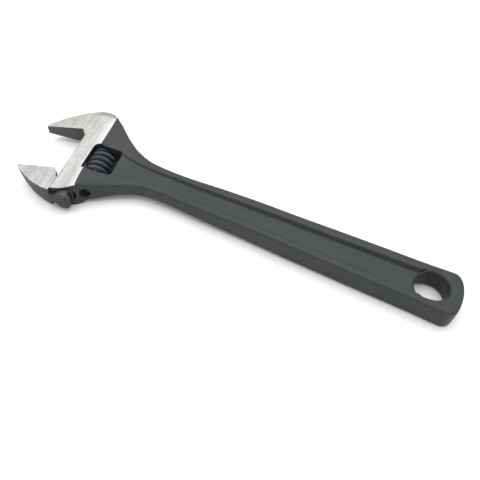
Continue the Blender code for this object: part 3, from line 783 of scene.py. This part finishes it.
def spring_steel():
    """Drawn wire with a straw tint."""
    m = Nodes("spring_steel", (0.4, 0.38, 0.35), 1.0, 0.3)
    m.link(m.ramp(m.noise(0.003, 2), (0.34, 0.32, 0.29), (0.48, 0.46, 0.43), 0.3, 0.7),
           m.shader.inputs["Base Color"])
    m.link(m.ramp(m.noise(0.0006, 2), 0.24, 0.36, 0.3, 0.7), m.shader.inputs["Roughness"])
    return m.material


# ---------------------------------------------------------------- the five pieces

def ground_side(point, normal):
    """Whether a face belongs to the ground wedge, with its small edge break."""
    height = HEAD_HALF - GROUND_SLOPE * (RIDGE_U - point.x)
    on_face = abs(point.z) > height - 1.2 * EDGE_BREAK and abs(normal.z) > 0.5
    return on_face and point.x < ridge_u(point.y)


def body_finish(point, normal):
    """Ground wedge, machined channel, slot, jaw face and throat; the rest is forged."""
    if ground_side(point, normal):
        return "ground"
    in_channel = math.hypot(point.x - STEM_U, point.z) < STEM_RADIUS + 2 * GAP
    in_slot = abs(point.z) < WEB_HALF + 2 * GAP and -1 < point.x < STEM_U
    hollow = (in_channel or in_slot) and point.y < CHANNEL_END_V + 1
    jaw_face = normal.y < -0.5 and point.x < 0 and point.y > RELIEF_V - 1
    throat = normal.x < -0.9 and point.x < 0.5
    return "machined" if hollow or jaw_face or throat else "forged"


def make_body(looks):
    window = [np.array(to_wrench(*p))
              for p in rounded_polygon(WINDOW_CORNERS, WINDOW_SPACING, ROUNDING_STEPS)]
    angles = np.linspace(0, -2 * math.pi, FINE_ROUND, endpoint=False)
    hole = np.stack([HOLE_X + HOLE_RADIUS * np.cos(angles), HOLE_RADIUS * np.sin(angles)], 1)
    loops = [(body_outline(), edge_radius, forged_share), (window, no_radius, no_radius),
             (hole, hole_radius, no_radius)]
    guides = [[to_wrench(ridge_u(v), v) for v in np.arange(*RIDGE_GUIDE)]]
    for table, inward in ((RECESS_FAR, -1), (RECESS_NEAR, 1)):
        xs = np.arange(table[0][0], HOLE_X - 3, WALL_GUIDE_SPACING)
        for share in WALL_GUIDES:
            guides.append([(x, along(table, x) + inward * share * along(RECESS_WALL, x))
                           for x in xs])
    vertices, faces = plate(loops, forged_half, ground_half, guides)
    vertices = [(*to_head(x, y), z) for x, y, z in vertices]
    body = new_object("forged_body", vertices, faces)
    outer, slot_half = CUTTER_OUTER_V, WEB_HALF + GAP
    cutters = [rod("channel", STEM_RADIUS + GAP, outer, CHANNEL_END_V, STEM_U, FINE_ROUND),
               block("slot", (-3, outer, -slot_half), (STEM_U, SLOT_END_V, slot_half)),
               rod("pin_head_hole", PIN_HEAD_RADIUS + GAP, outer, WORM_START_V + 2, WORM_U,
                   PIN_ROUND),
               rod("pin_hole", PIN_RADIUS + GAP, WORM_END_V - 5, PIN_END_V + 1, WORM_U,
                   PIN_HOLE_ROUND)]
    carve(body, [("DIFFERENCE", cutter) for cutter in cutters])
    # A cut along the ridge lets the ground and forged looks meet on a straight line.
    shell = bmesh.new()
    shell.from_mesh(body.data)
    bmesh.ops.bisect_plane(shell, geom=shell.verts[:] + shell.edges[:] + shell.faces[:], dist=1e-6,
                           plane_co=HEAD_FRAME @ Vector((RIDGE_U * MM, 0, 0)),
                           plane_no=HEAD_FRAME.to_3x3() @ Vector((1, 0, 0)))
    shell.to_mesh(body.data)
    shell.free()
    dress(body, {name: looks[name] for name in ("forged", "ground", "machined")}, body_finish)
    return body


def jaw_finish(point, normal):
    """Ground wedge, machined stem, jaw face and shoulder; the rest is forged."""
    if ground_side(point, normal) and point.x < THROAT_U:
        return "ground"
    in_stem = math.hypot(point.x - STEM_U, point.z) < STEM_RADIUS + 0.1
    if in_stem and point.x > THROAT_U - GAP and normal.y > -0.9:
        return "machined"
    return "machined" if normal.y > 0.5 or normal.x > 0.7 else "forged"


def oblique_end(start):
    """A prism beyond the jaw's back, from U = start, that trims the ends of the web and stem."""
    outer, beyond, half = STEM_OUTER_V - 5, 25, 12
    plan = [(start, TRIM_V), (start, outer), (beyond, outer),
            (beyond, TRIM_V + TRIM_SLOPE * (beyond - start))]
    vertices = [(u, v, z) for z in (-half, half) for u, v in plan]
    sides = [[k, (k + 1) % 4, (k + 1) % 4 + 4, k + 4] for k in range(4)]
    return vertices, sides + [[3, 2, 1, 0], [4, 5, 6, 7]]


def make_sliding_jaw(looks):
    shoulder = THROAT_U - GAP
    front = [(shoulder, JAW_SHOULDER_V)] + JAW_FRONT
    outline = straight_run((shoulder, SLIDING_JAW_BACK[-1][1]), front[0], COARSE_SPACING)
    for a, b in zip(front, front[1:] + [SLIDING_JAW_BACK[0]]):
        outline += straight_run(a, b, COARSE_SPACING)
    outline += smooth_run(SLIDING_JAW_BACK, FINE_SPACING)

    def wedge(u, v):
        return HEAD_HALF - GROUND_SLOPE * (RIDGE_U - u) + 0 * v

    jaw = new_object("lower_jaw", *plate([(outline, no_radius, no_radius)], wedge, wedge))
    end = STEM_OUTER_V
    stem_profile = [(STEM_RADIUS, end), (STEM_RADIUS, STEM_INNER_V - STEM_CHAMFER),
                    (STEM_RADIUS - STEM_CHAMFER, STEM_INNER_V)]
    web = block("web", (shoulder - WEB_OVERLAP, end, -WEB_HALF), (STEM_U - 1, WEB_TOP_V, WEB_HALF))
    stem = new_object("stem", *turned(stem_profile, FINE_ROUND), STEM_U)
    end_cutter = new_object("end_cutter", *oblique_end(shoulder - TRIM_OVERLAP))
    rack_cutter = screw(RACK_THREAD, end - 3, STEM_INNER_V + 3, FINE_ROUND, [])
    rack = new_object("rack", *rack_cutter, WORM_U)
    carve(stem, [("DIFFERENCE", rack), ("UNION", web)])
    carve(jaw, [("UNION", stem), ("DIFFERENCE", end_cutter)])
    dress(jaw, {name: looks[name] for name in ("forged", "ground", "machined")}, jaw_finish)
    return jaw


def make_worm(looks):
    pocket_floor = WORM_END_V - SPRING_POCKET_DEPTH
    bore = [(SPRING_POCKET_RADIUS, WORM_END_V), (SPRING_POCKET_RADIUS, pocket_floor),
            (PIN_RADIUS + GAP, pocket_floor), (PIN_RADIUS + GAP, WORM_START_V)]
    shape = screw(THREAD, WORM_START_V, WORM_END_V, WORM_COLUMNS, bore, KNURLS)
    worm = new_object("thumb_worm", *shape, WORM_U)
    dress(worm, {"worm": looks["worm"]}, sharp_angle=ROUND_SHARP_ANGLE)
    return worm


def make_pin(looks):
    profile = [(PIN_HEAD_RADIUS - PIN_CHAMFER, PIN_HEAD_OUTER_V),
               (PIN_HEAD_RADIUS, PIN_HEAD_OUTER_V + PIN_CHAMFER),
               (PIN_HEAD_RADIUS, PIN_HEAD_INNER_V), (PIN_RADIUS, PIN_HEAD_INNER_V),
               (PIN_RADIUS, PIN_END_V - PIN_CHAMFER), (PIN_RADIUS - PIN_CHAMFER, PIN_END_V)]
    pin = new_object("slotted_pin", *turned(profile, PIN_ROUND), WORM_U)
    half = PIN_SLOT_WIDTH / 2
    slot = block("screwdriver_slot", (WORM_U - 8, PIN_HEAD_OUTER_V - 3, -half),
                 (WORM_U + 8, PIN_HEAD_OUTER_V + PIN_SLOT_DEPTH, half))
    carve(pin, [("DIFFERENCE", slot)])
    dress(pin, {"pin": looks["worm"]})
    return pin


def make_spring(looks):
    """Compression spring in the worm's pocket, round the pin."""
    start = WORM_END_V - SPRING_POCKET_DEPTH + SPRING_WIRE / 2 + GAP
    end = WORM_END_V + GAP + 0.1
    sides = WIRE_SIDES
    vertices, faces = [], []
    count = SPRING_TURNS * WIRE_STEPS + 1
    for k in range(count):
        angle = 2 * math.pi * k / WIRE_STEPS
        outward = np.array((math.sin(angle), 0, math.cos(angle)))
        middle = outward * SPRING_RADIUS + (0, start + (end - start) * k / (count - 1), 0)
        for j in range(sides):
            around = 2 * math.pi * j / sides
            upward = np.array((0, math.sin(around), 0))
            vertices.append(tuple(middle + SPRING_WIRE / 2 * (outward * math.cos(around) + upward)))
    for k in range(count - 1):
        for j in range(sides):
            a, b = k * sides + j, k * sides + (j + 1) % sides
            faces.append([a, b, b + sides, a + sides])
    faces.append(list(range(sides)))
    faces.append(list(range((count - 1) * sides, count * sides))[::-1])
    spring = new_object("play_spring", vertices, faces, WORM_U)
    dress(spring, {"spring": looks["spring"]}, sharp_angle=ROUND_SHARP_ANGLE)
    return spring


def make_pieces():
    looks = {"forged": forged_black(), "machined": machined_dark(), "ground": ground_steel(),
             "worm": worm_black(), "spring": spring_steel()}
    rows = [(make_body, "wrench_body", "frame", "forged_black"),
            (make_sliding_jaw, "sliding_jaw", "jaw", "ground_steel"),
            (make_worm, "adjusting_worm", "worm", "worm_black"),
            (make_pin, "worm_pin", "frame", "pin_black"),
            (make_spring, "worm_spring", "frame", "spring_steel")]
    for make, node, body, slot in rows:
        piece = make(looks)
        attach(piece, body)
        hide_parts(node)


# ---------------------------------------------------------------- floor, light, camera

HANDLE_HALF = NECK_THICKNESS[-1][1] + HANDLE_SWELL[-1][1]
REST_SPAN = 300                # from the ridge to where the handle touches the floor
REST_SLOPE = math.atan2(HEAD_HALF - HANDLE_HALF, REST_SPAN)
FLOOR_HALF = 3                 # metres
WORLD_STRENGTH = 0.95
LIGHT_POWER = 12.0             # watts
LIGHT_SIZE = 1.6               # metres, as is its place
LIGHT_PLACE = (-0.1, 0.3, 1.1)


def make_floor():
    """A pale floor that the head's ridge and the handle's end both touch."""
    mesh = bpy.data.meshes.new("floor")
    edge = FLOOR_HALF
    corners = [(-edge, -edge, 0), (edge, -edge, 0), (edge, edge, 0), (-edge, edge, 0)]
    mesh.from_pydata(corners, [], [(0, 1, 2, 3)])
    floor = bpy.data.objects.new("floor", mesh)
    bpy.context.scene.collection.objects.link(floor)
    m = Nodes("pale_table", (0.9, 0.9, 0.9), 0.0, 0.6)
    m.link(m.ramp(m.noise(0.3, 2), (0.89, 0.89, 0.895), (0.91, 0.91, 0.915), 0.3, 0.7),
           m.shader.inputs["Base Color"])
    floor.data.materials.append(m.material)
    ridge_foot = HEAD_FRAME @ Vector((RIDGE_U * MM, 0, 0))
    floor.matrix_world = (Matrix.Translation((ridge_foot.x, ridge_foot.y, 0))
                          @ Matrix.Rotation(-REST_SLOPE, 4, "Y"))


def make_light():
    data = bpy.data.lights.new("overhead", "AREA")
    data.energy = LIGHT_POWER
    data.shape = "DISK"
    data.size = LIGHT_SIZE
    light = bpy.data.objects.new("overhead", data)
    bpy.context.scene.collection.objects.link(light)
    light.location = LIGHT_PLACE
    light.rotation_euler = (-Vector(LIGHT_PLACE)).to_track_quat("-Z", "Y").to_euler()


CAMERA_PLACE = (263.389, -234.375, 275.967)     # mm, wrench frame
CAMERA_AZIMUTH = 0.418         # radians, as are the next two
CAMERA_ELEVATION = 0.871
CAMERA_ROLL = 0.065
CAMERA_LENS = 35.43            # mm
CAMERA_SENSOR = 36             # mm


def make_camera():
    data = bpy.data.cameras.new("camera")
    data.sensor_width = CAMERA_SENSOR
    data.lens = CAMERA_LENS
    camera = bpy.data.objects.new("camera", data)
    bpy.context.scene.collection.objects.link(camera)
    az, el, roll = CAMERA_AZIMUTH, CAMERA_ELEVATION, CAMERA_ROLL
    back = Vector((math.sin(az) * math.cos(el), -math.cos(az) * math.cos(el), math.sin(el)))
    right = Vector((math.cos(az), math.sin(az), 0))
    up = back.cross(right)
    turned_right = right * math.cos(roll) + up * math.sin(roll)
    turned_up = up * math.cos(roll) - right * math.sin(roll)
    camera.matrix_world = (WRENCH_FRAME @ Matrix.Translation(Vector(CAMERA_PLACE) * MM)
                           @ Matrix((turned_right, turned_up, back)).transposed().to_4x4())
    bpy.context.scene.camera = camera


def make_world():
    world = bpy.data.worlds.new("studio")
    world.use_nodes = True
    world.node_tree.nodes["Background"].inputs["Color"].default_value = (1, 1, 1, 1)
    world.node_tree.nodes["Background"].inputs["Strength"].default_value = WORLD_STRENGTH
    bpy.context.scene.world = world


make_camera()
make_pieces()
make_floor()
make_world()
make_light()
bpy.context.scene.view_settings.view_transform = "Standard"
bpy.context.view_layer.update()
